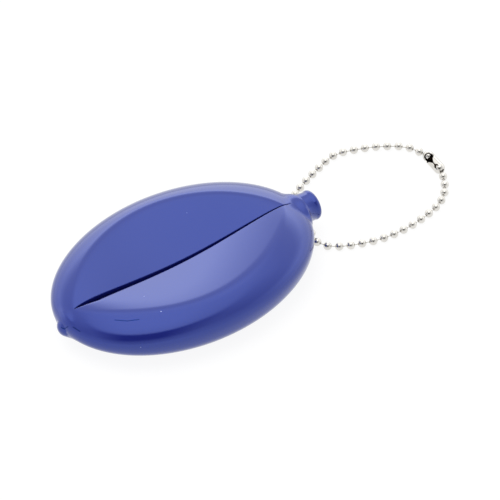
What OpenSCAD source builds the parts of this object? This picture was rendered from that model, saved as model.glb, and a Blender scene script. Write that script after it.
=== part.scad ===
// Squeeze coin purse: a one-piece oval vinyl pouch with a slit along its top and a solid neck at one end.
// A ball chain, closed by a snap connector, runs through the eyelet in the neck.
// The origin is the middle of the flat that the pouch rests on. +X points along the slit to the neck, +Z is up.

/* [Pouch] */
// Half of the oval's length, without the neck and the tip
pouch_half_length = 40; // [36:0.5:46]
// Half of the oval's width
pouch_half_width = 27; // [24:0.5:32]
// Half of the thickness that the oval would have without its dished top and its flat
pouch_half_height = 9; // [8:0.25:11]
// Fullness of the rounded rim at the sides: 2 is an ellipse and more is squarer
rim_fullness = 2.6; // [2.2:0.1:3.2]
// Fullness of the rim at both ends
end_fullness = 2.2; // [2:0.1:2.6]
// Thickness of the vinyl wall
wall = 1.8; // [1.4:0.1:2.2]
// Depth of the flat that the pouch rests on
foot_depth = 0.5; // [0.4:0.1:0.8]

/* [Dished top] */
// How far the middle of the slit lies under the full oval
dish_depth = 6.1; // [3:0.1:7]
// Distance from the oval's end to the end of the dish, before the dish is moved towards the tip
dish_end_setback = 5; // [3:0.5:6]
// How far the dish lies moved towards the tip
dish_shift = 1; // [0:0.1:2]
// Distance from the oval's side to the crest of the rim
crest_setback = 7.5; // [6:0.5:12]
// How quickly the dish gets shallower towards the ends of the slit
dish_end_fade = 1.2; // [1:0.1:2]
// How pointed the dish is at its ends, seen from above: 0.5 is an ellipse
crest_taper = 0.85; // [0.5:0.05:1]
// How much the panels swell between the slit and the crest: 0 is flat
panel_swell = 0.2; // [0:0.05:0.5]
// Softness of the crease along the crest
crease_round = 0.8; // [0.4:0.1:2]

/* [Slit and moving lips] */
// Distance from the oval's end to the end of the slit at the tip
slit_tip_setback = 4.2; // [3.6:0.1:6]
// Distance from the oval's end to the end of the slit at the neck
slit_neck_setback = 3.7; // [3.4:0.1:6]
// Half of the width of the slit where it gapes most
slit_gape = 0.5; // [0.2:0.05:0.8]
// Half of the width of the slit where its lips meet
slit_closed = 0.12; // [0.1:0.01:0.2]
// Distance from the tip end of the slit to where it gapes most
slit_gape_place = 7; // [5:0.5:14]
// Distance from the oval's side to the line on the underside that each lip bends about
bend_setback = 9; // [7:0.5:13]
// Gap between a lip and the pouch's body
lip_gap = 0.3; // [0.2:0.05:0.4]

/* [Tip] */
// Radius of the tip's rounded nose
tip_radius = 3; // [2:0.1:3.4]
// Distance that the tip stands out of the oval
tip_length = 1; // [0.8:0.1:2]
// Radius of the curve by which the tip's sides flow into the oval
tip_fillet = 4; // [3:0.1:5]
// Distance of the tip's centre line under the oval's middle
tip_drop = 0.9; // [0:0.1:1.5]

/* [Neck] */
// Radius of the neck at its waist
neck_waist_radius = 4.3; // [4:0.1:5]
// Radius of the neck's flared end
neck_end_radius = 4.45; // [4.2:0.05:5.4]
// Distance that the neck stands out of the oval
neck_length = 4.2; // [4:0.1:8]
// Radius of the curve by which the neck's sides flow into the oval
neck_fillet = 4; // [3:0.5:8]
// Rounding of the neck's end
neck_round = 1.1; // [0.6:0.1:1.6]
// How softly the neck and the tip flow out of the oval
root_blend = 4; // [1:0.1:5]

/* [Eyelet] */
// Radius of the hole through the neck's root
eyelet_radius = 1.55; // [1.4:0.05:1.7]
// Distance of the hole from the neck end of the slit
eyelet_setback = 2.7; // [2.6:0.1:3.2]
// Distance of the hole under the neck's centre line
eyelet_drop = 2.1; // [1.5:0.1:2.3]

/* [Ball chain] */
// Radius of a ball
ball_radius = 1.2; // [1.1:0.05:1.25]
// Thickness of a ball's shell
ball_shell = 0.2; // [0.15:0.01:0.22]
// Radius of the hole at each end of a ball
ball_hole_radius = 0.33; // [0.3:0.01:0.35]
// Radius of the wire of a link
wire_radius = 0.2; // [0.15:0.01:0.22]
// Radius of the head on each end of a link
head_radius = 0.37; // [0.35:0.01:0.38]
// Links on each side of the loop, from the ball in the eyelet to the connector
links_a_side = 20; // [20:1:21]
// Distance from the eyelet to the connector, as the loop lies on the table
loop_reach = 47.5; // [46:0.1:49]

/* [Connector] */
// Outside radius of the connector
connector_radius = 1.65; // [1.6:0.05:1.8]
// Thickness of the connector's sheet
connector_sheet = 0.22; // [0.15:0.01:0.25]
// Distance between the two balls that the connector holds
connector_reach = 5.8; // [5:0.1:7]
// Radius of the mouth that a ball is pressed in through
mouth_radius = 1.3; // [1.2:0.05:1.4]
// Width of the slot that runs from the mouth to the other end
slot_width = 0.8; // [0.6:0.1:1.2]
// Radius of the hole in each end of the connector, which the chain's wire leaves through
connector_hole_radius = 0.85; // [0.8:0.05:1]
// Turn of the mouth about the connector's length
mouth_turn = 125; // [0:5:360]

/* [Hidden] */
// Number of sections along a lip, of points up its side and of points along its underside
lip_sections = 30;
side_points = 13;
under_points = 6;
sole_points = 10;
arch_points = 23;
round_steps = 5;
nose_steps = 8;
route_steps = 12;
ball_facets = 48;
wire_facets = 24;
eyelet_facets = 64;
// How much closer together the points of a section lie at its side
point_crowding = 2.2;
// Length over which the sole steps up to a solid end
step_width = 0.05;
// Share of the neck's length at which its waist lies
waist_share = 0.55;
// Share of a fillet's radius over which it rises
fillet_share = 0.8;
// Share of the root's softness that is left where the lips end
least_blend = 0.3;
// How quickly the crease gets sharper towards the ends of the dish
crease_fade = 0.7;
// A size that is too small to matter
tiny = 0.000001;
// Turn of the rounding at the tip and at the neck's end, up to the small flat at each
tip_round_turn = 80;
neck_round_turn = 75;
// Depth of a link's swivelling head and of its seated head inside their balls
swivel_depth = 0.4;
seat_depth = 0.6;
// Distance from the connector's held ball back to the middle of the mouth
mouth_setback = 0.3;

centre_height = pouch_half_height - foot_depth;
dish_half_length = pouch_half_length - dish_end_setback;
crest_half_width = pouch_half_width - crest_setback;
slit_end_tip = pouch_half_length - slit_tip_setback;
slit_end_neck = pouch_half_length - slit_neck_setback;
bend_line = pouch_half_width - bend_setback;
bend_share = bend_line / (pouch_half_width - wall);
eyelet_x = slit_end_neck + eyelet_setback;
eyelet_z = centre_height - eyelet_drop;

// Rows 0 to 3 of the chain lie in and beside the eyelet and move as one
first_free_row = 4;
last_row = links_a_side;

// Routes of the two sides of the loop on the table, chosen by hand, as shares of the loop's reach from the eyelet
table = ball_radius;
low = table / loop_reach;
start = eyelet_z / loop_reach;
connector_way = [0.07, 1, 0];
connector_place = [loop_reach, 0, connector_radius];
far_way = concat(
    [[0, 0, start], [0, 0.068, start], [0.017, 0.13, 0.092], [0.085, 0.2, 0.042], [0.2, 0.28, low]],
    [[0.385, 0.355, low], [0.55, 0.4, low], [0.71, 0.355, low], [0.84, 0.292, low], [0.955, 0.2, low]]);
near_way = concat(
    [[0, 0, start], [0, -0.068, start - 0.002], [0.004, -0.124, 0.092], [0.02, -0.152, 0.04]],
    [[0.048, -0.2, low]],
    [[0.155, -0.275, low], [0.365, -0.345, low], [0.575, -0.353, low], [0.775, -0.315, low]],
    [[0.89, -0.25, low], [0.965, -0.15, low]]);
half_reach = connector_way / norm(connector_way) * connector_reach / 2;
eyelet_foot = [eyelet_x, 0, 0];
far_route = concat(
    [for (step = far_way) eyelet_foot + loop_reach * step],
    [eyelet_foot + connector_place + half_reach]);
near_route = concat(
    [for (step = near_way) eyelet_foot + loop_reach * step],
    [eyelet_foot + connector_place - half_reach]);

two_digits = function (n) n < 10 ? str("0", n) : str(n);
far_name = function (row) str("far_ball_", two_digits(row));
near_name = function (row) str("near_ball_", two_digits(row));
link_name = function (row) str("links_", two_digits(row));
free_rows = [for (row = [first_free_row : last_row]) row];

// Height of the oval over its middle plane at a place, for a surface that lies inset inside the outer one
function oval_height(x, y, inset = 0) =
    let (
        along = x / (pouch_half_length - inset),
        across = y / (pouch_half_width - inset),
        reach = min(1, norm([along, across])),
        sideways = across * across / max(tiny, reach * reach),
        fullness = end_fullness + (rim_fullness - end_fullness) * min(1, sideways)
    )
    (pouch_half_height - inset) * pow(1 - pow(reach, fullness), 1 / fullness);
function oval_width(x, inset = 0) =
    (pouch_half_width - inset) * sqrt(max(0, 1 - pow(x / (pouch_half_length - inset), 2)));

// The larger and the smaller of two sizes, with a soft change from one to the other
function soft_max(a, b, blend) =
    let (mix = max(0, min(1, 0.5 + 0.5 * (a - b) / max(tiny, blend))))
    b + (a - b) * mix + blend * mix * (1 - mix);
function soft_min(a, b, blend) = -soft_max(-a, -b, blend);

// How far the dish has faded at a place along it: 1 at its middle and 0 at its ends
function dish_fade(x) = max(0, 1 - pow((x + dish_shift) / dish_half_length, 2));

// Height of the panel that slopes from the slit up to the crest, carried on past the crest
function panel_height(x, y) =
    let (
        fade = dish_fade(x),
        crest = crest_half_width * pow(fade, crest_taper),
        slit_height = oval_height(x, 0) - dish_depth * pow(fade, dish_end_fade),
        rise = oval_height(x, crest) - slit_height,
        share = abs(y) / crest,
        swell = share < 1 ? panel_swell * share * (1 - share) : panel_swell * (1 - share)
    )
    slit_height + rise * (share + swell);

// Height of the dished top over the oval's middle plane
function top_height(x, y, inset = 0) =
    let (fade = dish_fade(x))
    fade < tiny
    ? oval_height(x, y, inset)
    : soft_min(oval_height(x, y, inset), panel_height(x, y) - inset, crease_round * pow(fade, crease_fade));
function under_height(x, y, inset = 0) =
    max(-oval_height(x, y, inset), inset > 0 ? -pouch_half_height : -centre_height);

// Half of the slit's width at a place along it
function slit_half(x) =
    let (widest = slit_gape_place - slit_end_tip)
    x < widest
    ? slit_closed + (slit_gape - slit_closed) * (x + slit_end_tip) / slit_gape_place
    : slit_closed + (slit_gape - slit_closed) * (slit_end_neck - x) / (slit_end_neck - widest);

// Distance of the bend from the middle line at a place along the pouch
function bend_at(x) = bend_share * oval_width(x, wall);

// Section of the left lip: over the top, round the side, along the underside to the bend, and back inside
function lip_section(x) =
    let (
        slit = slit_half(x),
        bend = bend_at(x),
        out_w = oval_width(x),
        in_w = oval_width(x, wall),
        out_top = [for (i = [0 : side_points - 1])
            let (y = slit + (out_w - slit) * (1 - pow(1 - i / side_points, point_crowding))) [y, top_height(x, y)]],
        out_low = [for (i = [0 : under_points])
            let (y = out_w - (out_w - bend) * pow(i / under_points, point_crowding)) [y, under_height(x, y)]],
        in_top = [for (i = [0 : side_points - 1])
            let (y = slit + (in_w - slit) * (1 - pow(1 - i / side_points, point_crowding))) [y, top_height(x, y, wall)]],
        in_low = [for (i = [0 : under_points])
            let (y = in_w - (in_w - bend) * pow(i / under_points, point_crowding)) [y, under_height(x, y, wall)]],
        inside = concat(in_top, in_low)
    )
    concat(out_top, out_low, [for (i = [len(inside) - 1 : -1 : 0]) inside[i]]);

// Section of the sole between the two bends: along the underside and back along the inside
function sole_section(x) =
    let (edge = bend_at(x) - lip_gap)
    concat(
        [for (i = [0 : sole_points]) let (y = edge * (1 - 2 * i / sole_points)) [y, under_height(x, y)]],
        [for (i = [0 : arch_points]) let (y = edge * (2 * i / arch_points - 1)) [y, under_height(x, y, wall)]]);

// A solid through sections that all have as many points, from the lowest x to the highest
module loft(places, sections) {
    count = len(sections[0]);
    last = len(places) - 1;
    points = [for (i = [0 : last]) for (p = sections[i]) [places[i], p[0], p[1]]];
    walls = [for (i = [0 : last - 1]) for (j = [0 : count - 1])
        let (a = i * count + j, b = i * count + (j + 1) % count)
        each [[a, b, b + count], [a, b + count, a + count]]];
    start = [for (j = [count - 1 : -1 : 0]) j];
    finish = [for (j = [0 : count - 1]) last * count + j];
    polyhedron(points = points, faces = concat(walls, [start, finish]));
}

// Places along the pouch, closer together towards both ends
function spread(from, to, steps) =
    [for (i = [0 : steps]) (from + to) / 2 - (to - from) / 2 * cos(180 * i / steps)];

// How far a solid end has come out at a place: 0 where the lips end and 1 past the oval
function end_share(x) =
    let (
        from = x > 0 ? slit_end_neck + lip_gap : slit_end_tip + lip_gap,
        share = max(0, min(1, (abs(x) - from) / (pouch_half_length - from)))
    )
    share * share * (3 - 2 * share);
function drop_at(x) = x > 0 ? 0 : tip_drop * end_share(x);
function blend_at(x) = root_blend * (least_blend + (1 - least_blend) * end_share(x));

// Distance from the centre line of a solid end to the oval's surface, in a direction across it
function oval_reach(x, angle, nearest = 0, farthest = 1.5 * pouch_half_length, steps = 16) =
    steps == 0 ? (nearest + farthest) / 2 :
    let (
        trial = (nearest + farthest) / 2,
        y = trial * cos(angle),
        z = trial * sin(angle) - drop_at(x),
        inside = abs(x) < pouch_half_length && abs(y) < oval_width(x)
            && z < top_height(x, y) && z > under_height(x, y)
    )
    inside
    ? oval_reach(x, angle, trial, farthest, steps - 1)
    : oval_reach(x, angle, nearest, trial, steps - 1);

// How much a fillet adds at a distance along it
function fillet_rise(distance, radius) =
    radius - sqrt(radius * radius - pow(max(0, min(fillet_share * radius, distance)), 2));

// Half of the width and of the height of the neck and of the tip at a place along the pouch
neck_end = pouch_half_length + neck_length;
waist_place = pouch_half_length + neck_length * waist_share;
function neck_halves(x) =
    let (
        flare = max(0, min(1, (x - waist_place) / (neck_end - neck_round - waist_place))),
        body = neck_waist_radius + (neck_end_radius - neck_waist_radius) * flare * flare * (3 - 2 * flare),
        into_round = max(0, x - (neck_end - neck_round)),
        radius = body - neck_round + sqrt(max(0, neck_round * neck_round - into_round * into_round))
    )
    [radius + fillet_rise(waist_place - x, neck_fillet), radius];
tip_end = -pouch_half_length - tip_length;
function tip_halves(x) =
    let (
        into_round = max(0, tip_end + tip_radius - x),
        radius = sqrt(max(0, tip_radius * tip_radius - into_round * into_round))
    )
    [radius + fillet_rise(x + pouch_half_length, tip_fillet), radius];

// Closed section of a solid end: its first points carry on from the sole's underside, the others arch over the top
function end_section(x, halves, join) =
    let (
        edge = bend_at(join) - lip_gap,
        edge_angle = atan2(under_height(join, edge), edge),
        low_sweep = 180 + 2 * edge_angle,
        arch_sweep = 360 - low_sweep,
        angles = concat(
            [for (i = [0 : sole_points]) edge_angle - low_sweep * i / sole_points],
            [for (i = [0 : arch_points]) edge_angle - low_sweep - arch_sweep * (i + 0.5) / (arch_points + 1)])
    )
    [for (angle = angles)
        let (
            radius = 1 / norm([cos(angle) / halves[0], sin(angle) / halves[1]]),
            reach = soft_max(oval_reach(x, angle), radius, min(blend_at(x), radius))
        )
        [reach * cos(angle), max(reach * sin(angle) - drop_at(x), -centre_height)]];

// The sole, both solid ends, the tip and the neck are one solid
module pouch_solid() {
    tip_start = -slit_end_tip - lip_gap;
    neck_start = slit_end_neck + lip_gap;
    tip_round = tip_end + tip_radius;
    neck_round_start = neck_end - neck_round;
    tip_places = concat(
        [for (i = [nose_steps : -1 : 1]) tip_round - tip_radius * sin(tip_round_turn * i / nose_steps)],
        spread(tip_round, tip_start, 6));
    sole_places = spread(tip_start + step_width, neck_start - step_width, lip_sections);
    neck_places = concat(
        spread(neck_start, pouch_half_length, 8),
        [for (i = [1 : 4]) pouch_half_length + (neck_round_start - pouch_half_length) * i / 4],
        [for (i = [1 : round_steps]) neck_round_start + neck_round * sin(neck_round_turn * i / round_steps)]);
    loft(
        concat(tip_places, sole_places, neck_places),
        concat(
            [for (x = tip_places) end_section(x, tip_halves(x), tip_start)],
            [for (x = sole_places) sole_section(x)],
            [for (x = neck_places) end_section(x, neck_halves(x), neck_start)]));
}

module pouch_body() {
    color("royalblue")
    translate([0, 0, centre_height])
    difference() {
        pouch_solid();
        translate([eyelet_x, pouch_half_width, -eyelet_drop])
        rotate([90, 0, 0])
        cylinder(r = eyelet_radius, h = 2 * pouch_half_width, $fn = eyelet_facets);
    }
}

module lip() {
    places = spread(-slit_end_tip, slit_end_neck, lip_sections);
    color("royalblue")
    translate([0, 0, centre_height])
    loft(places, [for (x = places) lip_section(x)]);
}

// Smooth curve through the points of a route, as many short steps, and the distance along it
function curve_point(a, b, c, d, t) =
    0.5 * (2 * b + (c - a) * t + (2 * a - 5 * b + 4 * c - d) * t * t + (3 * b - a - 3 * c + d) * t * t * t);
function smooth_route(route) =
    let (last = len(route) - 1)
    concat(
        [for (i = [0 : last - 1]) for (k = [0 : route_steps - 1])
            curve_point(
                i == 0 ? 2 * route[0] - route[1] : route[i - 1],
                route[i],
                route[i + 1],
                i + 2 > last ? 2 * route[last] - route[last - 1] : route[i + 2],
                k / route_steps)],
        [route[last]]);
function lengths(path, i = 1, so_far = [0]) =
    i == len(path) ? so_far
    : lengths(path, i + 1, concat(so_far, [so_far[i - 1] + norm(path[i] - path[i - 1])]));
function place_along(path, marks, distance) =
    let (
        later = [for (i = [1 : len(path) - 1]) if (marks[i] >= distance) i],
        i = len(later) == 0 ? len(path) - 1 : later[0],
        share = (distance - marks[i - 1]) / (marks[i] - marks[i - 1]),
        place = path[i - 1] + (path[i] - path[i - 1]) * min(1, share)
    )
    [place[0], place[1], max(table, place[2])];
function balls_along(route) =
    let (path = smooth_route(route), marks = lengths(path), total = marks[len(marks) - 1])
    [for (i = [0 : last_row]) place_along(path, marks, total * i / last_row)];

far_balls = balls_along(far_route);
near_balls = balls_along(near_route);
echo(far_balls = far_balls);
echo(near_balls = near_balls);

// Turns a part that points along +Z so that it points from one place to another
module point_from(from, to) {
    way = to - from;
    translate(from)
    rotate([0, acos(way[2] / norm(way)), atan2(way[1], way[0])])
    children();
}

// A hollow ball with a hole towards each of its neighbours, turned so that its own start line is clear of them
module ball(place, neighbours) {
    way = neighbours[0] - place;
    aside = atan2(way[1], way[0]) + 90;
    color("silver")
    difference() {
        translate(place) rotate([0, 0, aside]) sphere(r = ball_radius, $fn = ball_facets);
        translate(place) rotate([0, 0, aside]) sphere(r = ball_radius - ball_shell, $fn = ball_facets);
        for (other = neighbours)
            point_from(place, other)
            translate([0, 0, ball_radius / 2])
            cylinder(r = ball_hole_radius, h = ball_radius, $fn = wire_facets);
    }
}

// A wire with a head inside each of the two balls that it joins: its inner head swivels, its outer one is seated
module link(inner, outer) {
    color("gainsboro")
    point_from(inner, outer) {
        reach = norm(outer - inner);
        translate([0, 0, swivel_depth]) sphere(r = head_radius, $fn = wire_facets);
        translate([0, 0, reach - seat_depth]) sphere(r = head_radius, $fn = wire_facets);
        translate([0, 0, swivel_depth])
        cylinder(r = wire_radius, h = reach - seat_depth - swivel_depth, $fn = wire_facets);
    }
}

module ball_of(balls, row) {
    ball(balls[row], row == last_row ? [balls[row - 1]] : [balls[row - 1], balls[row + 1]]);
}

module eyelet_balls() {
    ball(far_balls[0], [far_balls[1], near_balls[1]]);
    for (row = [1 : first_free_row - 1]) {
        ball_of(far_balls, row);
        ball_of(near_balls, row);
    }
}

module eyelet_links() {
    for (row = [1 : first_free_row - 1]) {
        link(far_balls[row - 1], far_balls[row]);
        link(near_balls[row - 1], near_balls[row]);
    }
}

module links(row) {
    link(far_balls[row - 1], far_balls[row]);
    link(near_balls[row - 1], near_balls[row]);
}

// A sheet tube with round ends, a mouth for one ball, a slot along its side and a hole for the wire at each end
module connector() {
    inner_radius = connector_radius - connector_sheet;
    color("silver")
    point_from(near_balls[last_row], far_balls[last_row])
    difference() {
        union() {
            sphere(r = connector_radius, $fn = ball_facets);
            cylinder(r = connector_radius, h = connector_reach, $fn = ball_facets);
            translate([0, 0, connector_reach]) sphere(r = connector_radius, $fn = ball_facets);
        }
        sphere(r = inner_radius, $fn = ball_facets);
        cylinder(r = inner_radius, h = connector_reach, $fn = ball_facets);
        translate([0, 0, connector_reach]) sphere(r = inner_radius, $fn = ball_facets);
        translate([0, 0, -2 * connector_radius])
        cylinder(r = connector_hole_radius, h = connector_reach + 4 * connector_radius, $fn = wire_facets);
        rotate([0, 0, mouth_turn]) {
            translate([0, 0, connector_reach - mouth_setback])
            rotate([0, 90, 0])
            cylinder(r = mouth_radius, h = 2 * connector_radius, $fn = ball_facets);
            translate([0, -slot_width / 2, 0])
            cube([2 * connector_radius, slot_width, connector_reach]);
        }
    }
}

pouch_body();
lip();  // left_lip
mirror([0, 1, 0]) lip();  // right_lip
eyelet_balls();
eyelet_links();
for (row = free_rows) {
    ball_of(far_balls, row);
    ball_of(near_balls, row);
    links(row);
}
connector();
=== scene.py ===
"""Dresses a squeeze coin purse: its glossy vinyl pouch, its ball chain and the chain's snap connector."""

import logging
import math
from dataclasses import dataclass, field
from enum import Enum
from typing import Sequence

import bpy
import numpy as np
from mathutils import Matrix, Vector


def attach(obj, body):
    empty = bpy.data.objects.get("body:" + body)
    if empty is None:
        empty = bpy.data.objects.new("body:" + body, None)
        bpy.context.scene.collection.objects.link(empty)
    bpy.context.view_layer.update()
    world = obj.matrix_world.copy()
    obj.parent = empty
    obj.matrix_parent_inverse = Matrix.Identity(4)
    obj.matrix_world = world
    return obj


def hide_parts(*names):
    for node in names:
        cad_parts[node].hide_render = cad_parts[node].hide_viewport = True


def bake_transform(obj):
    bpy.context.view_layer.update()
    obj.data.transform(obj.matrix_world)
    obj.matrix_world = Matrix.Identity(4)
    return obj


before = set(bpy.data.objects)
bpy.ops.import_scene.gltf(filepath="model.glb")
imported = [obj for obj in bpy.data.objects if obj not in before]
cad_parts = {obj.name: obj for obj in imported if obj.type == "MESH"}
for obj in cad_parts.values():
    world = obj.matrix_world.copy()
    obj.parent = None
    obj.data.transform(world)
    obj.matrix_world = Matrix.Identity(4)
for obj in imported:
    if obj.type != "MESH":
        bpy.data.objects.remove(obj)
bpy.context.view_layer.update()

LOG = logging.getLogger("coin_purse")
MM = 0.001
WELD = 0.00002
CREASE = math.radians(40)
NORMAL_STEP = 0.02
ROUND_KEY = 1e7
Colour = tuple[float, float, float]
Place = tuple[float, float, float]


class Side(Enum):
    """The two sides of the slit, with the sign of Y on each."""

    FAR = 1
    NEAR = -1


class End(Enum):
    """The two ends of the pouch, with the sign of X at each."""

    TIP = -1
    NECK = 1


def smooth_step(value: np.ndarray | float, low: float, high: float) -> np.ndarray | float:
    """Rises softly from 0 at low to 1 at high.

    Args:
        value: The number or numbers to judge.
        low: Where the rise starts.
        high: Where the rise ends.

    Returns:
        The share of the rise, from 0 to 1.
    """
    share = np.clip((value - low) / (high - low), 0, 1)
    return share * share * (3 - 2 * share)


def soft_max(first: np.ndarray, second: np.ndarray | float, blend: float) -> np.ndarray:
    """The larger of two sizes, with a soft change from one to the other.

    Args:
        first: Sizes of the first form.
        second: Sizes of the second form.
        blend: Difference under which the two forms flow together.

    Returns:
        The sizes of the joined form.
    """
    mix = np.clip(0.5 + 0.5 * (first - second) / blend, 0, 1)
    return second + (first - second) * mix + blend * mix * (1 - mix)


def soft_min(first: np.ndarray, second: np.ndarray | float, blend: float) -> np.ndarray:
    """The smaller of two sizes, with a soft change from one to the other."""
    return -soft_max(-first, -second, blend)


def evenly(points: np.ndarray, count: int) -> np.ndarray:
    """Places points at equal distances along a line of many points.

    Args:
        points: The line, one row a point.
        count: How many points to place, both ends among them.

    Returns:
        The placed points.
    """
    steps = np.linalg.norm(np.diff(points, axis=0), axis=1)
    marks = np.concatenate([[0], np.cumsum(steps)])
    places = np.linspace(0, marks[-1], count)
    return np.stack([np.interp(places, marks, points[:, i]) for i in range(points.shape[1])], axis=1)


def deselect() -> None:
    """Leaves edit mode and deselects everything, the CAD nodes among them."""
    if bpy.context.object and bpy.context.object.mode != "OBJECT":
        bpy.ops.object.mode_set(mode="OBJECT")
    bpy.ops.object.select_all(action="DESELECT")


def apply_modifier(piece: bpy.types.Object, kind: str, **settings: object) -> None:
    """Adds a modifier to a piece and applies it.

    Args:
        piece: The piece to shape.
        kind: The modifier's type.
        settings: The modifier's own settings.
    """
    bpy.context.view_layer.objects.active = piece
    modifier = piece.modifiers.new(kind.lower(), kind)
    for name, value in settings.items():
        setattr(modifier, name, value)
    bpy.ops.object.modifier_apply(modifier=modifier.name)


def sheet_of(name: str, rows: int, columns: int) -> bpy.types.Object:
    """Adds a flat grid that a piece is then shaped from.

    Args:
        name: The piece's name.
        rows: Points along the piece.
        columns: Points across the piece.

    Returns:
        The grid, whose points are ordered by row.
    """
    deselect()
    bpy.ops.mesh.primitive_grid_add(x_subdivisions=columns - 1, y_subdivisions=rows - 1, size=2)
    piece = bpy.context.object
    piece.name = piece.data.name = name
    return piece


def close_ends(piece: bpy.types.Object, gap: float) -> None:
    """Joins the long edges of a rolled-up grid and fills the hole at each of its ends.

    Args:
        piece: The piece, rolled up so that its first and last columns meet.
        gap: Distance under which two points are one.
    """
    bpy.context.view_layer.objects.active = piece
    bpy.ops.object.mode_set(mode="EDIT")
    bpy.ops.mesh.select_all(action="SELECT")
    bpy.ops.mesh.remove_doubles(threshold=gap)
    bpy.ops.mesh.select_all(action="DESELECT")
    bpy.ops.mesh.select_mode(type="EDGE")
    bpy.ops.mesh.select_non_manifold()
    bpy.ops.mesh.edge_face_add()
    bpy.ops.mesh.select_all(action="SELECT")
    bpy.ops.mesh.normals_make_consistent(inside=False)
    bpy.ops.object.mode_set(mode="OBJECT")


def lay_points(piece: bpy.types.Object, points: np.ndarray) -> None:
    """Moves every point of a mesh.

    Args:
        piece: The piece to shape.
        points: The new places in millimetres, in the order of the mesh's points.
    """
    piece.data.vertices.foreach_set("co", (points.reshape(-1, 3) * MM).astype(np.float32).ravel())
    piece.data.update()


@dataclass(frozen=True)
class Nodes:
    """A small helper that adds nodes to one tree and joins them."""

    tree: bpy.types.NodeTree

    def add(
        self, kind: str, inputs: dict[str | int, object] | None = None, **settings: object
    ) -> bpy.types.Node:
        """Adds a node.

        Args:
            kind: The node's type.
            inputs: Values or output sockets for its inputs.
            settings: The node's own settings.

        Returns:
            The new node.
        """
        node = self.tree.nodes.new(kind)
        for name, value in settings.items():
            setattr(node, name, value)
        for socket, value in (inputs or {}).items():
            if isinstance(value, bpy.types.NodeSocket):
                self.tree.links.new(value, node.inputs[socket])
            else:
                node.inputs[socket].default_value = value
        return node

    def math(self, operation: str, first: object, second: object = 0.0) -> bpy.types.NodeSocket:
        """Adds a sum of two values and gives its result."""
        return self.add("ShaderNodeMath", {0: first, 1: second}, operation=operation).outputs[0]

    def vector(self, operation: str, first: object, second: object) -> bpy.types.Node:
        """Adds a sum of two vectors and gives its node."""
        return self.add("ShaderNodeVectorMath", {0: first, 1: second}, operation=operation)


def new_group(
    name: str, inputs: dict[str, float], outputs: Sequence[str]
) -> tuple[bpy.types.NodeTree, Nodes]:
    """Makes an empty shader node group with named sockets.

    Args:
        name: The group's name.
        inputs: Its inputs and their usual values.
        outputs: Its outputs.

    Returns:
        The group and a helper that adds nodes to it.
    """
    tree = bpy.data.node_groups.new(name, "ShaderNodeTree")
    for socket, value in inputs.items():
        made = tree.interface.new_socket(socket, in_out="INPUT", socket_type="NodeSocketFloat")
        made.default_value = value
    for socket in outputs:
        tree.interface.new_socket(socket, in_out="OUTPUT", socket_type="NodeSocketFloat")
    return tree, Nodes(tree)


def speck_group() -> bpy.types.NodeTree:
    """A group that puts small specks all over a surface, sparsely and each of its own size.

    Returns:
        The group, with a mask that is 1 on a speck.
    """
    tree, nodes = new_group("specks", {"Cells": 700.0, "Size": 0.16, "Share": 0.2}, ["Mask"])
    given = nodes.add("NodeGroupInput").outputs
    place = nodes.add("ShaderNodeTexCoord").outputs["Object"]
    cells = nodes.add("ShaderNodeTexVoronoi", {"Vector": place, "Scale": given["Cells"]})
    pick = nodes.add("ShaderNodeSeparateColor", {0: cells.outputs["Color"]})
    chosen = nodes.math("LESS_THAN", pick.outputs[0], given["Share"])
    reach = nodes.math("MULTIPLY", given["Size"], nodes.math("ADD", pick.outputs[1], 0.3))
    near = nodes.math("SUBTRACT", 1.0, nodes.math("DIVIDE", cells.outputs["Distance"], reach))
    sharp = nodes.math("MULTIPLY", near, 2.0)
    mask = nodes.add("ShaderNodeClamp", {0: nodes.math("MULTIPLY", sharp, chosen)})
    nodes.add("NodeGroupOutput", {0: mask.outputs[0]})
    return tree


def ripple_group() -> bpy.types.NodeTree:
    """A group that gives a slow ripple and a fine haze, as on a moulded or plated surface.

    Returns:
        The group, with a height and a haze that both change over the surface.
    """
    tree, nodes = new_group("ripple", {"Ripples": 60.0, "Grain": 900.0}, ["Height", "Haze"])
    given = nodes.add("NodeGroupInput").outputs
    place = nodes.add("ShaderNodeTexCoord").outputs["Object"]
    slow = nodes.add("ShaderNodeTexNoise", {"Vector": place, "Scale": given["Ripples"], "Detail": 2.0})
    fine = nodes.add("ShaderNodeTexNoise", {"Vector": place, "Scale": given["Grain"], "Detail": 3.0})
    nodes.add("NodeGroupOutput", {0: slow.outputs[0], 1: fine.outputs[0]})
    return tree


def stroke_group() -> bpy.types.NodeTree:
    """A group that marks a short stroke on a surface, between two places in the object's own space.

    Returns:
        The group, with a mask that is 1 on the stroke.
    """
    tree, nodes = new_group("stroke", {"Width": 0.0002}, ["Mask"])
    for name in ("Start", "Finish"):
        tree.interface.new_socket(name, in_out="INPUT", socket_type="NodeSocketVector")
    given = nodes.add("NodeGroupInput").outputs
    place = nodes.add("ShaderNodeTexCoord").outputs["Object"]
    way = nodes.vector("SUBTRACT", given["Finish"], given["Start"]).outputs[0]
    gone = nodes.vector("SUBTRACT", place, given["Start"]).outputs[0]
    length = nodes.vector("DOT_PRODUCT", way, way).outputs["Value"]
    share = nodes.math("DIVIDE", nodes.vector("DOT_PRODUCT", gone, way).outputs["Value"], length)
    along = nodes.add("ShaderNodeVectorMath", {0: way}, operation="SCALE")
    tree.links.new(nodes.add("ShaderNodeClamp", {0: share}).outputs[0], along.inputs["Scale"])
    off = nodes.vector("SUBTRACT", gone, along.outputs[0]).outputs[0]
    distance = nodes.add("ShaderNodeVectorMath", {0: off}, operation="LENGTH").outputs["Value"]
    apart = nodes.math("DIVIDE", distance, given["Width"])
    near = nodes.add("ShaderNodeMapRange", {0: apart, 1: 1.3, 2: 0.6}).outputs[0]
    nodes.add("NodeGroupOutput", {0: near})
    return tree


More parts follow.
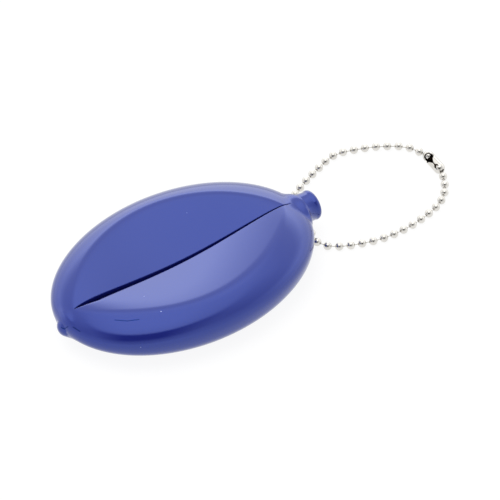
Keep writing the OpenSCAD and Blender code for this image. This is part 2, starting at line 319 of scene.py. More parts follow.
@dataclass(frozen=True)
class Vinyl:
    """Glossy soft vinyl: an even deep colour, a slow mould ripple, pale specks and a few dark scratches."""

    name: str = "vinyl"
    slot: str = "vinyl"
    deep: Colour = (0.012, 0.017, 0.185)
    bright: Colour = (0.016, 0.022, 0.220)
    gleam: Colour = (0.03, 0.12, 0.60)
    mark: Colour = (0.004, 0.006, 0.060)
    speck: Colour = (0.45, 0.50, 0.80)
    roughness: float = 0.10
    haze: float = 0.08
    ripple_depth: float = 0.00010
    refraction: float = 1.95
    skin_refraction: float = 1.5
    skin_roughness: float = 0.06
    skin: float = 0.92
    marks: tuple[tuple[Place, Place, float], ...] = (
        ((-40.48, -0.78, 9.10), (-40.07, -1.64, 9.02), 0.16),
        ((-40.07, -1.64, 9.02), (-39.44, -2.52, 10.37), 0.14),
        ((-38.69, -3.88, 10.90), (-37.99, -6.29, 10.80), 0.15),
        ((-29.49, -10.75, 14.07), (-27.12, -13.04, 14.23), 0.13),
        ((-27.12, -13.04, 14.23), (-24.30, -14.66, 14.53), 0.13),
    )

    def build(
        self, specks: bpy.types.NodeTree, ripple: bpy.types.NodeTree, stroke: bpy.types.NodeTree
    ) -> bpy.types.Material:
        """Makes the material.

        Args:
            specks: The group of specks.
            ripple: The group of ripples.
            stroke: The group of short strokes.

        Returns:
            The material.
        """
        material, nodes, shader = shader_material(self.name)
        mask = nodes.add("ShaderNodeGroup", {"Cells": 330.0, "Size": 0.075, "Share": 0.10}, node_tree=specks)
        waves = nodes.add("ShaderNodeGroup", {"Ripples": 45.0, "Grain": 1400.0}, node_tree=ripple)
        tint = mix_colour(nodes, waves.outputs["Height"], self.deep, self.bright)
        colour = mix_colour(nodes, mask.outputs["Mask"], tint, self.speck)
        plain: object = 1.0
        for start, finish, width in self.marks:
            ends = [tuple(c * MM for c in place) for place in (start, finish)]
            sizes = {"Start": ends[0], "Finish": ends[1], "Width": width * MM}
            line = nodes.add("ShaderNodeGroup", sizes, node_tree=stroke)
            plain = nodes.math("MULTIPLY", nodes.math("SUBTRACT", 1.0, line.outputs[0]), plain)
        colour = mix_colour(nodes, nodes.math("SUBTRACT", 1.0, plain), colour, self.mark)
        nodes.tree.links.new(colour, shader.inputs["Base Color"])
        nodes.tree.links.new(nodes.math("MULTIPLY", plain, self.skin), shader.inputs["Coat Weight"])
        shader.inputs["Coat IOR"].default_value = self.skin_refraction
        shader.inputs["Coat Roughness"].default_value = self.skin_roughness
        shader.inputs["IOR"].default_value = self.refraction
        shader.inputs["Specular IOR Level"].default_value = 1.0
        shader.inputs["Specular Tint"].default_value = (*self.gleam, 1.0)
        roughen(nodes, shader, waves, (self.roughness, self.haze), (0.5, self.ripple_depth))
        return material


@dataclass(frozen=True)
class Nickel:
    """Bright nickel plate: warm grey metal with a fine haze and small dark pits."""

    name: str = "nickel"
    slot: str = "nickel"
    bright: Colour = (0.80, 0.78, 0.74)
    dull: Colour = (0.62, 0.60, 0.56)
    pit: Colour = (0.16, 0.14, 0.12)
    roughness: float = 0.08
    haze: float = 0.12
    ripple_depth: float = 0.00003

    def build(self, specks: bpy.types.NodeTree, ripple: bpy.types.NodeTree) -> bpy.types.Material:
        """Makes the material.

        Args:
            specks: The group of specks.
            ripple: The group of ripples.

        Returns:
            The material.
        """
        material, nodes, shader = shader_material(self.name)
        mask = nodes.add("ShaderNodeGroup", {"Cells": 2600.0, "Size": 0.16, "Share": 0.10}, node_tree=specks)
        waves = nodes.add("ShaderNodeGroup", {"Ripples": 500.0, "Grain": 4000.0}, node_tree=ripple)
        tint = mix_colour(nodes, waves.outputs["Height"], self.bright, self.dull)
        colour = mix_colour(nodes, mask.outputs["Mask"], tint, self.pit)
        nodes.tree.links.new(colour, shader.inputs["Base Color"])
        shader.inputs["Metallic"].default_value = 1.0
        roughen(nodes, shader, waves, (self.roughness, self.haze), (0.4, self.ripple_depth))
        return material


def shader_material(name: str) -> tuple[bpy.types.Material, Nodes, bpy.types.Node]:
    """Makes a node material with one main shader.

    Args:
        name: The material's name.

    Returns:
        The material, a helper for its nodes, and its shader.
    """
    material = bpy.data.materials.new(name)
    material.use_nodes = True
    return material, Nodes(material.node_tree), material.node_tree.nodes["Principled BSDF"]


def roughen(
    nodes: Nodes,
    shader: bpy.types.Node,
    waves: bpy.types.Node,
    haze: tuple[float, float],
    bump: tuple[float, float],
) -> None:
    """Gives a shader its uneven roughness and its ripple.

    Args:
        nodes: The helper of the material's nodes.
        shader: The material's main shader.
        waves: The ripple group's node.
        haze: The least roughness, and how much the haze adds to it.
        bump: The ripple's strength and its depth.
    """
    rough = nodes.math("MULTIPLY_ADD", waves.outputs["Haze"], haze[1])
    rough.node.inputs[2].default_value = haze[0]
    nodes.tree.links.new(rough, shader.inputs["Roughness"])
    ripple = nodes.add("ShaderNodeBump", {"Strength": bump[0], "Distance": bump[1]})
    nodes.tree.links.new(waves.outputs["Height"], ripple.inputs["Height"])
    nodes.tree.links.new(ripple.outputs[0], shader.inputs["Normal"])


def mix_colour(nodes: Nodes, share: object, first: object, second: object) -> bpy.types.NodeSocket:
    """Mixes two colours.

    Args:
        nodes: The helper of the material's nodes.
        share: How much of the second colour there is.
        first: The first colour, or a socket that gives it.
        second: The second colour, or a socket that gives it.

    Returns:
        The socket of the mixed colour.
    """
    full = [(*c, 1.0) if isinstance(c, tuple) else c for c in (first, second)]
    node = nodes.add("ShaderNodeMix", {"Factor": share, 6: full[0], 7: full[1]}, data_type="RGBA")
    return node.outputs[2]


@dataclass
class PouchForm:
    """Sizes of the pouch in millimetres, measured from the middle of its oval, and the curves they give."""

    half_length: float = 40.0
    half_width: float = 27.0
    half_height: float = 9.0
    side_fullness: float = 2.6
    end_fullness: float = 2.2
    wall: float = 1.8
    foot: float = 0.5
    dish_depth: float = 6.1
    dish_half_length: float = 35.0
    dish_shift: float = 1.0
    crest_half_width: float = 19.5
    dish_power: float = 1.2
    crest_taper: float = 0.85
    panel_swell: float = 0.2
    crease_round: float = 0.8
    crease_fade: float = 0.7
    slit_tip: float = -35.8
    slit_neck: float = 36.3
    slit_widest: float = -28.8
    slit_gape: float = 0.38
    slit_closed: float = 0.10
    slit_seam: float = 0.012
    slit_rise: float = 0.8
    near_round: float = 1.7
    least_round: float = 0.16
    bend_line: float = 18.0
    tip_end: float = -41.0
    tip_radius: float = 3.0
    tip_fillet: float = 4.0
    neck_end: float = 44.2
    neck_waist: float = 4.3
    neck_flare: float = 4.45
    neck_waist_at: float = 42.31
    neck_fillet: float = 4.0
    neck_round: float = 1.1
    root_blend: float = 4.0
    least_blend: float = 0.3
    lip_gap: float = 0.3
    fillet_share: float = 0.8
    neck_shown: tuple[float, float] = (25.0, 37.0)
    tip_shown: tuple[float, float] = (26.0, 36.5)
    tip_drop: float = 0.9

    @property
    def centre(self) -> float:
        """Height of the oval's middle over the table."""
        return self.half_height - self.foot

    def oval(self, x: np.ndarray, y: np.ndarray, inset: float = 0.0) -> np.ndarray:
        """Height of the oval over its middle plane.

        Args:
            x: Places along the pouch.
            y: Places across the pouch.
            inset: How far the surface lies inside the outer one.

        Returns:
            The heights, 0 outside the oval.
        """
        along, across = x / (self.half_length - inset), y / (self.half_width - inset)
        reach = np.minimum(1, np.hypot(along, across))
        sideways = np.minimum(1, across ** 2 / np.maximum(1e-6, reach ** 2))
        fullness = self.end_fullness + (self.side_fullness - self.end_fullness) * sideways
        return (self.half_height - inset) * (1 - reach ** fullness) ** (1 / fullness)

    def width(self, x: np.ndarray | float, inset: float = 0.0) -> np.ndarray:
        """Half of the oval's width at places along it, for a surface at an inset."""
        share = np.clip(1 - (x / (self.half_length - inset)) ** 2, 0, 1)
        return (self.half_width - inset) * np.sqrt(share)

    def fade(self, x: float) -> float:
        """How far the dish has faded at a place along it: 1 at its middle and 0 at its ends."""
        return max(0.0, 1 - ((x + self.dish_shift) / self.dish_half_length) ** 2)

    def panel(self, x: float, y: np.ndarray) -> np.ndarray:
        """Height of the panel that slopes from the slit up to the crest, carried on past the crest."""
        fade = self.fade(x)
        crest = self.crest_half_width * fade ** self.crest_taper
        low = self.oval(x, 0.0) - self.dish_depth * fade ** self.dish_power
        share = np.abs(y) / crest
        swell = np.where(share < 1, self.panel_swell * share * (1 - share), self.panel_swell * (1 - share))
        return low + (self.oval(x, crest) - low) * (share + swell)

    def top(self, x: float, y: np.ndarray, inset: float = 0.0) -> np.ndarray:
        """Height of the dished top over the middle plane."""
        full = self.oval(x, y, inset)
        fade = self.fade(x)
        if fade < 1e-4:
            return full
        return soft_min(full, self.panel(x, y) - inset, self.crease_round * fade ** self.crease_fade)

    def under(self, x: np.ndarray, y: np.ndarray, inset: float = 0.0) -> np.ndarray:
        """Height of the underside, flat where the pouch rests, over the middle plane."""
        return np.maximum(-self.oval(x, y, inset), -self.centre if inset == 0 else -self.half_height)

    def slit_wedge(self, x: float) -> float:
        """How far the slit gapes at a place, from 0 at its ends to 1 at its widest."""
        rise = np.clip((x - self.slit_tip) / (self.slit_widest - self.slit_tip), 0, 1)
        fall = np.clip((self.slit_neck - x) / (self.slit_neck - self.slit_widest), 0, 1)
        return float(min(rise ** self.slit_rise, fall))

    def slit_half(self, x: float) -> float:
        """Half of the slit's width at a place along it."""
        shut = self.slit_closed * float(smooth_step(min(x - self.slit_tip, self.slit_neck - x), -0.4, 2.0))
        return self.slit_seam + shut + (self.slit_gape - self.slit_closed) * self.slit_wedge(x)

    def edge_round(self, x: float, side: Side) -> float:
        """Rounding of a lip's edge at the slit: the near lip's is broad where the slit gapes."""
        broad = self.near_round - self.least_round if side is Side.NEAR else 0.0
        return self.least_round + broad * self.slit_wedge(x)

    def bend(self, x: float) -> float:
        """Distance of the line that a lip bends about from the middle line."""
        return self.bend_line / (self.half_width - self.wall) * float(self.width(x, self.wall))

    def fillet(self, distance: float, radius: float) -> float:
        """How much a fillet adds at a distance along it."""
        run = min(self.fillet_share * radius, max(0.0, distance))
        return radius - math.sqrt(radius ** 2 - run ** 2)

    def core(self, x: float) -> tuple[float, float]:
        """Half of the width and of the height of the solid end that flows into the oval, at a place.

        Args:
            x: Place along the pouch.

        Returns:
            Both sizes, which fade away under the lips.
        """
        if x > 0:
            flare = float(smooth_step(x, self.neck_waist_at - 0.1, self.neck_end - self.neck_round))
            into = max(0.0, x - (self.neck_end - self.neck_round))
            body = self.neck_waist + (self.neck_flare - self.neck_waist) * flare
            radius = body - self.neck_round + math.sqrt(max(0.0, self.neck_round ** 2 - into ** 2))
            shown = float(smooth_step(x, *self.neck_shown))
            return (radius + self.fillet(self.neck_waist_at - x, self.neck_fillet)) * shown, radius * shown
        into = max(0.0, self.tip_end + self.tip_radius - x)
        radius = math.sqrt(max(0.0, self.tip_radius ** 2 - into ** 2))
        shown = float(smooth_step(-x, *self.tip_shown))
        return (radius + self.fillet(x + self.half_length, self.tip_fillet)) * shown, radius * shown

    def come_out(self, x: float) -> float:
        """How far a solid end has come out at a place: 0 where the lips end and 1 past the oval."""
        start = self.slit_neck if x > 0 else -self.slit_tip
        return float(smooth_step(abs(x), start + self.lip_gap, self.half_length))

    def drop(self, x: float) -> float:
        """How far the tip's centre line lies under the oval's middle at a place."""
        return 0.0 if x > 0 else self.tip_drop * self.come_out(x)

    def swell(self, x: float, outline: np.ndarray) -> np.ndarray:
        """Lets the solid end at this place show through an outline of the oval.

        Args:
            x: Place along the pouch.
            outline: Points (y, z) on the oval's outline, measured from the end's centre line.

        Returns:
            The points of the joined outline.
        """
        reach = np.maximum(np.linalg.norm(outline, axis=1, keepdims=True), 1e-6)
        wide, high = (max(1e-5, half) for half in self.core(x))
        radius = 1 / np.hypot(outline[:, :1] / reach / wide, outline[:, 1:] / reach / high)
        blend = self.root_blend * (self.least_blend + (1 - self.least_blend) * self.come_out(x))
        grown = outline * soft_max(reach, radius, np.minimum(blend, radius)) / reach
        grown[:, 1] = np.maximum(grown[:, 1] - self.drop(x), -self.centre)
        return grown

    def reach(self, x: float, angles: np.ndarray) -> np.ndarray:
        """Distance from the end's centre line to the oval's surface, for angles around it."""
        low = np.zeros_like(angles)
        high = np.full_like(angles, 1.2 * self.half_width)
        for _ in range(32):
            middle = (low + high) / 2
            y, z = middle * np.cos(angles), middle * np.sin(angles) - self.drop(x)
            inside = (abs(x) < self.half_length) & (np.abs(y) < self.width(x))
            inside &= (z < self.top(x, y)) & (z > self.under(x, y))
            low, high = np.where(inside, middle, low), np.where(inside, high, middle)
        return np.maximum(1e-4, (low + high) / 2)


@dataclass
class Lip:
    """A quarter of the pouch's skin: half of one lip, from the slit round its side to the bend."""

    form: PouchForm
    side: Side
    end: End
    body: str
    node: str
    stations: int = 90
    top_points: int = 64
    under_points: int = 20
    inside_points: int = 44
    face_points: int = 5

    def outline(self, x: float) -> tuple[np.ndarray, int]:
        """The closed section of the lip at a place, on the far side.

        Args:
            x: Place along the pouch.

        Returns:
            The points (y, z), and how many of them lie on the outer surface.
        """
        form = self.form
        slit, bend = form.slit_half(x), form.bend(x)
        wide, inner_wide = float(form.width(x)), float(form.width(x, form.wall))
        turn = np.linspace(0, 1, 900)
        round_off = form.edge_round(x, self.side)
        y = slit + (wide - slit) * np.sin(turn * math.pi / 2)
        z = form.top(x, y)
        lost = np.clip(1 - (y - slit) / round_off, 0, 1)
        z = z - round_off * (1 - np.sqrt(1 - lost ** 2))
        fine = np.linspace(0, 1, 12)
        edge_y = slit + round_off * (1 - np.cos(fine * math.pi / 2))
        edge_z = form.top(x, edge_y) - round_off * (1 - np.sin(fine * math.pi / 2))
        beyond = y > slit + round_off
        top = np.stack([y[beyond], z[beyond]], axis=1)
        edge = np.stack([edge_y, edge_z], axis=1)
        y = wide - (wide - bend) * (1 - np.cos(turn * math.pi / 2))
        under = np.stack([y, form.under(x, y)], axis=1)
        outer = np.concatenate([
            edge,
            evenly(np.concatenate([edge[-1:], top]), self.top_points)[1:],
            evenly(np.concatenate([top[-1:], under]), self.under_points)[1:],
        ])
        outer = form.swell(x, outer)
        y = slit + (inner_wide - slit) * np.sin(turn * math.pi / 2)
        inner_top = np.stack([y, form.top(x, y, form.wall)], axis=1)
        y = inner_wide - (inner_wide - bend) * (1 - np.cos(turn * math.pi / 2))
        inner_low = np.stack([y, form.under(x, y, form.wall)], axis=1)
        inner = evenly(np.concatenate([inner_top, inner_low]), self.inside_points)[::-1]
        face = np.linspace(inner[-1], outer[0], self.face_points)[1:-1]
        hem = np.linspace(outer[-1], inner[0], self.face_points)[1:-1]
        return np.concatenate([outer, hem, inner, face, outer[:1]]), len(outer)

    def build(self) -> bpy.types.Object:
        """Makes the mesh and hides the lip's CAD node.

        Returns:
            The finished piece.
        """
        form = self.form
        finish = form.slit_neck if self.end is End.NECK else form.slit_tip
        places = finish * np.sin(np.linspace(0, 1, self.stations) * math.pi / 2)
        rings, outer_count = [], 0
        for x in places:
            ring, outer_count = self.outline(float(x))
            rings.append(self.place(float(x), ring))
        grid = np.array(rings)
        piece = sheet_of(f"{self.node}_{self.end.name.lower()}_half", self.stations, grid.shape[1])
        lay_points(piece, grid)
        normals = np.array([self.normals(float(x), outer_count, grid.shape[1]) for x in places])
        keep_normals(piece, grid, normals)
        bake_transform(piece)
        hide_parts(self.node)
        return piece

    def place(self, x: float, ring: np.ndarray) -> np.ndarray:
        """Puts a section's points (y, z) in the frame, on the lip's own side."""
        across = ring[:, 0] * self.side.value
        return np.stack([np.full(len(ring), x), across, ring[:, 1] + self.form.centre], axis=1)

    def normals(self, x: float, outer_count: int, count: int) -> np.ndarray:
        """Directions that the outer surface faces at one section, and zeros on the rest.

        Args:
            x: Place along the pouch.
            outer_count: How many points lie on the outer surface.
            count: How many points the section has.

        Returns:
            One direction a point.
        """
        before, here, after = (
            self.place(at, self.outline(at)[0])[:outer_count]
            for at in (x - NORMAL_STEP, x, x + NORMAL_STEP)
        )
        along = after - before
        around = np.gradient(here, axis=0)
        facing = np.cross(along, around) * self.side.value
        facing /= np.maximum(np.linalg.norm(facing, axis=1, keepdims=True), 1e-12)
        full = np.zeros((count, 3))
        full[:outer_count] = facing
        full[0] = 0
        full[outer_count - 1] = 0
        return full


def keep_normals(piece: bpy.types.Object, grid: np.ndarray, normals: np.ndarray) -> None:
    """Closes a rolled-up grid and shades its outer surface by exact directions.

    Args:
        piece: The piece, whose points are laid as the grid.
        grid: The points, by section.
        normals: The directions, by section, zero where the mesh's own serve.
    """
    def key(place: Sequence[float]) -> tuple[int, ...]:
        """Rounds a place, so that the same point is found again after the grid is closed."""
        return tuple(np.round(np.array(place, np.float32) * ROUND_KEY).astype(int))

    close_ends(piece, WELD)
    bpy.ops.object.shade_smooth_by_angle(angle=CREASE)
    mesh = piece.data
    lookup = {key(p): i for i, p in enumerate((grid.reshape(-1, 3) * MM).astype(np.float32))}
    flat_normals = normals.reshape(-1, 3)
    wanted = np.zeros((len(mesh.loops), 3), np.float32)
    ends = {polygon.index for polygon in mesh.polygons if len(polygon.vertices) > 4}
    own = [lookup.get(key(v.co), -1) for v in mesh.vertices]
    for polygon in mesh.polygons:
        if polygon.index in ends:
            continue
        corners = [own[mesh.loops[i].vertex_index] for i in polygon.loop_indices]
        known = [c >= 0 and flat_normals[c].any() for c in corners]
        if sum(known) < 2:
            continue
        for i, corner, good in zip(polygon.loop_indices, corners, known):
            if good:
                wanted[i] = flat_normals[corner]
    mesh.normals_split_custom_set([tuple(v) for v in wanted])


@dataclass
class SolidEnd:
    """One solid end of the pouch: the tip, or the neck with its flared end."""

    form: PouchForm
    end: End
    stations: int = 70
    round_points: int = 160

    def places(self) -> np.ndarray:
        """Places along the end, from the slit outwards, close together where it rounds off."""
        form = self.form
        if self.end is End.NECK:
            start, finish, bend = form.slit_neck, form.neck_end, form.neck_round
        else:
            start, finish, bend = form.slit_tip, form.tip_end, form.tip_radius
        split = self.stations * 2 // 3
        towards = finish - self.end.value * bend
        run = np.linspace(start, towards, split)
        turn = np.linspace(0, 1, self.stations - split + 1)[1:]
        return np.concatenate([run, towards + (finish - towards) * np.sin(turn * math.radians(86))])

    def section(self, x: float) -> np.ndarray:
        """The outline at a place, as points in the frame that start and end under the pouch."""
        form = self.form
        angles = np.linspace(-math.pi / 2, 1.5 * math.pi, self.round_points + 1)
        around = np.stack([np.cos(angles), np.sin(angles)], axis=1)
        points = form.swell(x, around * form.reach(x, angles)[:, None])
        return np.stack([np.full(len(points), x), points[:, 0], points[:, 1] + form.centre], axis=1)

    def build(self) -> bpy.types.Object:
        """Makes the mesh and ties it to the pouch.

        Returns:
            The finished piece.
        """
        places = self.places()
        grid = np.array([self.section(float(x)) for x in places])
        piece = sheet_of(f"pouch_{self.end.name.lower()}", len(places), grid.shape[1])
        lay_points(piece, grid)
        normals = []
        for x in places:
            along = self.section(float(x) + NORMAL_STEP) - self.section(float(x) - NORMAL_STEP)
            here = self.section(float(x))[:-1]
            around = np.roll(here, -1, axis=0) - np.roll(here, 1, axis=0)
            around = np.concatenate([around, around[:1]])
            facing = np.cross(around, along)
            normals.append(facing / np.maximum(np.linalg.norm(facing, axis=1, keepdims=True), 1e-12))
        outside = np.array(normals)
        outside[-1] = 0
        keep_normals(piece, grid, outside)
        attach(piece, "pouch")
        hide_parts("pouch_body")
        return piece


@dataclass
class Sole:
    """The part of the pouch that it rests on, between the lines that its lips bend about."""

    form: PouchForm
    stations: int = 90
    points: int = 48
    seam: float = 0.02

    def build(self) -> bpy.types.Object:
        """Makes the mesh and ties it to the pouch.

        Returns:
            The finished piece.
        """
        form = self.form
        share = (1 - np.cos(np.linspace(0, math.pi, self.stations))) / 2
        places = form.slit_tip + (form.slit_neck - form.slit_tip) * share
        rings = []
        for x in places:
            edge = form.bend(float(x)) - self.seam
            y = np.linspace(edge, -edge, self.points)
            low = form.swell(float(x), np.stack([y, form.under(x, y)], axis=1))
            high = np.stack([y[::-1], form.under(x, y[::-1], form.wall)], axis=1)
            ring = np.concatenate([low, high, low[:1]])
            rings.append(np.stack([np.full(len(ring), x), ring[:, 0], ring[:, 1] + form.centre], axis=1))
        grid = np.array(rings)
        piece = sheet_of("pouch_sole", self.stations, grid.shape[1])
        lay_points(piece, grid)
        close_ends(piece, WELD)
        bpy.ops.object.shade_smooth_by_angle(angle=CREASE)
        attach(piece, "pouch")
        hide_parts("pouch_body")
        return piece


@dataclass
class Pouch:
    """The whole pouch, dressed as one moulding: two solid ends, a sole and both lips."""

    form: PouchForm = field(default_factory=PouchForm)

    def build(self, vinyl: bpy.types.Material, finish: Vinyl) -> list[bpy.types.Object]:
        """Makes every piece of the pouch.

        Args:
            vinyl: The material of them all.
            finish: Not used.

        Returns:
            The pieces.
        """
        pieces = [SolidEnd(self.form, end).build() for end in End]
        pieces.append(Sole(self.form).build())
        lips = {Side.FAR: "left_lip", Side.NEAR: "right_lip"}
        for side, name in lips.items():
            pieces += [Lip(self.form, side, end, name, name).build() for end in End]
        for piece in pieces:
            dress(piece, vinyl)
        return pieces


def dress(piece: bpy.types.Object, material: bpy.types.Material) -> None:
    """Gives a piece its material.

    Args:
        piece: The piece.
        material: Its material.
    """
    piece.data.materials.clear()
    piece.data.materials.append(material)
    LOG.info("%s: %d points", piece.name, len(piece.data.vertices))


@dataclass
class Chain:
    """The ball chain: hollow balls and the wire links that join them."""

    def build(self, nickel: bpy.types.Material, finish: Nickel) -> None:
        """Dresses the balls and links.

        Args:
            nickel: The material of the chain.
            finish: Not used.
        """
        for name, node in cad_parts.items():
            if "ball" in name or "links" in name:
                dress(node, nickel)


@dataclass
class Connector:
    """The snap connector: a sheet rolled to a tube, with a teardrop mouth that runs out into a slot."""

    middle: Place = (86.5, 0.0, 1.65)
    way: Place = (0.07, 1.0, 0.0)
    radius: float = 1.65
    reach: float = 5.8
    hole: float = 0.75
    sheet: float = 0.22
    mouth_turn: float = 40.0
    mouth_place: float = 1.5
    mouth_radius: float = 1.52
    tail_length: float = 3.2
    tail_taper: float = 1.2
    slot_half: float = 0.16
    slot_end: float = -3.4
    seam_half: float = 0.03
    fork_half: float = 0.5
    fork_start: tuple[float, float] = (1.9, 2.6)
    fork_end: tuple[float, float] = (3.3, 3.6)
    stations: int = 80
    around: int = 72

    def profile(self, u: float) -> float:
        """Radius of the tube at a distance from its middle, with rounded ends."""
        into = max(0.0, abs(u) - self.reach / 2)
        return math.sqrt(max(0.0, self.radius ** 2 - into ** 2))

    def opening(self, u: float) -> float:
        """Half of the opening's width at a distance from the middle."""
        past = abs(u - self.mouth_place)
        mouth = math.sqrt(max(0.0, self.mouth_radius ** 2 - past ** 2))
        left = max(0.0, 1 - (self.mouth_place - u) / self.tail_length)
        tail = self.mouth_radius * left ** self.tail_taper if u < self.mouth_place else 0.0
        slot = self.slot_half if self.slot_end < u < self.mouth_place else self.seam_half
        starts, ends = smooth_step(-u, *self.fork_start), smooth_step(-u, *self.fork_end)
        fork = self.fork_half * float(starts) * (1 - float(ends))
        return max(mouth, tail, slot + fork)

    def build(
        self, nickel: bpy.types.Material, tarnish: bpy.types.Material, finish: Nickel
    ) -> bpy.types.Object:
        """Makes the rolled sheet and ties it to the connector's body.

        Args:
            nickel: The material of the outside.
            tarnish: The material of the inside.
            finish: Not used.

        Returns:
            The finished piece.
        """
        axis = Vector(self.way).normalized()
        aside = axis.cross(Vector((0, 0, 1)))
        turn = math.radians(self.mouth_turn)
        out = Vector((0, 0, math.cos(turn))) - aside * math.sin(turn)
        across = axis.cross(out)
        end = self.reach / 2 + math.sqrt(self.radius ** 2 - self.hole ** 2)
        rows = []
        for u in end * np.sin(np.linspace(-1, 1, self.stations) * math.pi / 2):
            radius = self.profile(float(u))
            edge = math.asin(min(0.97, self.opening(float(u)) / radius))
            for angle in np.linspace(edge, 2 * math.pi - edge, self.around):
                spoke = out * math.cos(angle) + across * math.sin(angle)
                rows.append(Vector(self.middle) + axis * float(u) + spoke * radius)
        piece = sheet_of("connector_tube", self.stations, self.around)
        lay_points(piece, np.array([tuple(row) for row in rows]))
        dress(piece, nickel)
        piece.data.materials.append(tarnish)
        apply_modifier(piece, "SOLIDIFY", thickness=self.sheet * MM, offset=-1.0, material_offset=1)
        bpy.ops.object.shade_smooth_by_angle(angle=CREASE)
        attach(piece, "connector")
        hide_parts("connector")
        return piece


@dataclass
class Studio:
    """Pale floor, soft light and the camera, with the photographed view in degrees, pixels and metres."""

    elevation: float = 45.0
    yaw: float = 34.7
    distance: float = 1.0
    focal_pixels: float = 3620.0
    frame_pixels: float = 500.0
    pouch_pixel: tuple[float, float] = (183.6, 267.1)
    pouch_height: float = 0.0085
    sensor: float = 36.0
    floor_glow: float = 0.90
    floor_size: float = 6.0
    floor_drop: float = 0.0001
    mirror_glow: float = 2.3
    soft_glow: float = 0.62
    beside_share: float = 0.6
    beside_glow: float = 0.45
    behind: tuple[tuple[float, float], ...] = (
        (0.0, 0.70), (0.22, 0.76), (0.40, 1.0), (0.56, 0.50), (0.70, 0.50), (0.86, 0.68), (1.0, 0.70)
    )
    before: tuple[tuple[float, float], ...] = (
        (0.0, 0.40), (0.35, 0.22), (0.55, 0.02), (0.82, 0.02), (0.88, 0.60), (1.0, 0.70)
    )
    lamp_place: Place = (-0.3, 0.2, 1.3)
    lamp_size: float = 1.2
    lamp_energy: float = 9.0

    def axes(self) -> tuple[Vector, Vector, Vector]:
        """Directions to the right, up and forwards of the camera."""
        yaw, tilt = math.radians(self.yaw), math.radians(self.elevation)
        right = Vector((math.cos(yaw), -math.sin(yaw), 0))
        level = Vector((math.sin(yaw), math.cos(yaw), 0))
        forward = level * math.cos(tilt) - Vector((0, 0, math.sin(tilt)))
        up = level * math.sin(tilt) + Vector((0, 0, math.cos(tilt)))
        return right, up, forward

    def camera(self) -> None:
        """Adds the camera, so that the middle of the pouch lies at its place in the photographed frame."""
        right, up, forward = self.axes()
        aside = (self.pouch_pixel[0] - self.frame_pixels / 2) / self.focal_pixels * self.distance
        above = -(self.pouch_pixel[1] - self.frame_pixels / 2) / self.focal_pixels * self.distance
        pouch = Vector((0, 0, self.pouch_height))
        place = pouch - forward * self.distance - right * aside - up * above
        data = bpy.data.cameras.new("camera")
        data.sensor_width = self.sensor
        data.lens = self.focal_pixels / self.frame_pixels * self.sensor
        data.clip_start, data.clip_end = 0.05, 20.0
        camera = bpy.data.objects.new("camera", data)
        camera.matrix_world = Matrix.Translation(place) @ Matrix((right, up, -forward)).transposed().to_4x4()
        bpy.context.scene.collection.objects.link(camera)
        bpy.context.scene.camera = camera

    def world(self) -> None:
        """Adds the surroundings: white to the eye, but mirrored bright behind the purse, dark before it."""
        world = bpy.data.worlds.new("studio")
        bpy.context.scene.world = world
        world.use_nodes = True
        nodes = Nodes(world.node_tree)
        background = world.node_tree.nodes["Background"]
        path = nodes.add("ShaderNodeLightPath").outputs
        way = nodes.add("ShaderNodeTexCoord").outputs["Generated"]
        level = (math.sin(math.radians(self.yaw)), math.cos(math.radians(self.yaw)), 0.0)
        right = (level[1], -level[0], 0.0)
        height = nodes.add("ShaderNodeSeparateXYZ", {0: way}).outputs[2]
        ahead = nodes.vector("DOT_PRODUCT", way, level).outputs["Value"]
        backdrop = self.ramp(nodes, height, self.behind)
        aside = nodes.math("ABSOLUTE", nodes.vector("DOT_PRODUCT", way, right).outputs["Value"])
        flank = nodes.add("ShaderNodeMapRange", {0: aside, 1: 0.22, 2: 0.62}).outputs[0]
        front = self.ramp(nodes, height, self.before)
        where = nodes.add("ShaderNodeMapRange", {0: ahead, 1: -0.35, 2: 0.35}).outputs[0]
        beside = nodes.math("MULTIPLY", flank, self.beside_share)
        front, backdrop = (self.blend(nodes, beside, ramp, self.beside_glow) for ramp in (front, backdrop))
        mirrored = nodes.math("MULTIPLY", self.blend(nodes, where, front, backdrop), self.mirror_glow)
        seen = nodes.math("MAXIMUM", path["Is Camera Ray"], path["Is Transmission Ray"])
        soft = self.blend(nodes, path["Is Glossy Ray"], self.soft_glow, mirrored)
        strength = self.blend(nodes, seen, soft, 1.0)
        world.node_tree.links.new(strength, background.inputs["Strength"])
        background.inputs["Color"].default_value = (1, 1, 1, 1)

    def ramp(
        self, nodes: Nodes, value: object, stops: Sequence[tuple[float, float]]
    ) -> bpy.types.NodeSocket:
        """Adds a ramp of grey levels.

        Args:
            nodes: The helper of the nodes.
            value: The socket that drives the ramp.
            stops: Places on the ramp and their levels.

        Returns:
            The socket of the level.
        """
        node = nodes.add("ShaderNodeValToRGB", {0: value})
        elements = node.color_ramp.elements
        while len(elements) < len(stops):
            elements.new(0.5)
        for element, (place, grey) in zip(elements, stops):
            element.position = place
            element.color = (grey, grey, grey, 1)
        return node.outputs[0]

    def blend(self, nodes: Nodes, share: object, first: object, second: object) -> bpy.types.NodeSocket:
        """Mixes two levels by a share and gives the socket of the result."""
        return nodes.add("ShaderNodeMix", {0: share, 2: first, 3: second}, data_type="FLOAT").outputs[0]

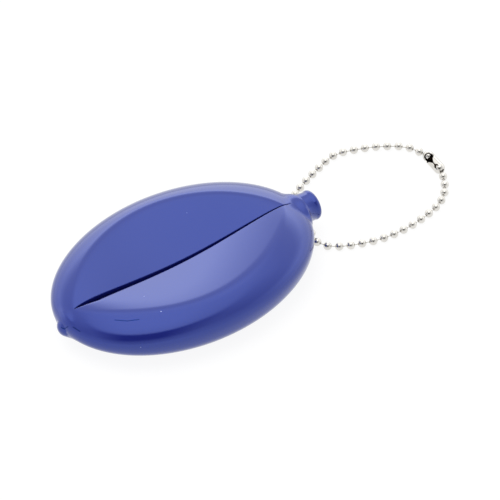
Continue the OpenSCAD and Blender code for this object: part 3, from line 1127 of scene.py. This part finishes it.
    def floor(self) -> None:
        """Adds a white floor that still shows the object's soft shadow."""
        deselect()
        bpy.ops.mesh.primitive_plane_add(size=self.floor_size, location=(0, 0, -self.floor_drop))
        floor = bpy.context.object
        floor.name = "floor"
        material = bpy.data.materials.new("pale_floor")
        material.use_nodes = True
        tree = material.node_tree
        tree.nodes.clear()
        nodes = Nodes(tree)
        path = nodes.add("ShaderNodeLightPath").outputs
        seen = nodes.math("MAXIMUM", path["Is Camera Ray"], path["Is Glossy Ray"])
        seen = nodes.math("MAXIMUM", seen, path["Is Transmission Ray"])
        glow = nodes.add("ShaderNodeEmission", {"Strength": self.floor_glow})
        faint = nodes.add("ShaderNodeBsdfDiffuse", {"Color": (0.14, 0.14, 0.14, 1)})
        shown = nodes.add("ShaderNodeAddShader", {0: glow.outputs[0], 1: faint.outputs[0]})
        lit = nodes.add("ShaderNodeBsdfDiffuse", {"Color": (0.85, 0.85, 0.85, 1)})
        both = nodes.add("ShaderNodeMixShader", {0: seen, 1: lit.outputs[0], 2: shown.outputs[0]})
        nodes.add("ShaderNodeOutputMaterial", {0: both.outputs[0]})
        floor.data.materials.append(material)

    def lamps(self) -> None:
        """Adds one large soft lamp overhead."""
        data = bpy.data.lights.new("overhead", "AREA")
        data.shape = "DISK"
        data.size = self.lamp_size
        data.energy = self.lamp_energy
        lamp = bpy.data.objects.new("overhead", data)
        lamp.location = self.lamp_place
        lamp.rotation_euler = Vector(self.lamp_place).to_track_quat("Z", "Y").to_euler()
        lamp.visible_glossy = False
        bpy.context.scene.collection.objects.link(lamp)

    def build(self) -> None:
        """Sets up the studio."""
        self.camera()
        self.world()
        self.floor()
        self.lamps()
        bpy.context.scene.view_settings.view_transform = "Standard"


def main() -> None:
    """Builds the studio and every piece of the purse in order."""
    logging.basicConfig(level=logging.INFO, format="%(name)s: %(message)s")
    Studio().build()
    specks, ripple = speck_group(), ripple_group()
    vinyl, nickel = Vinyl(), Nickel()
    Pouch().build(vinyl.build(specks, ripple, stroke_group()), vinyl)
    plate = nickel.build(specks, ripple)
    Chain().build(plate, nickel)
    inside = Nickel(name="tarnish", bright=(0.085, 0.055, 0.035), dull=(0.030, 0.020, 0.014), roughness=0.4)
    Connector().build(plate, inside.build(specks, ripple), nickel)


if __name__ == "__main__":
    main()
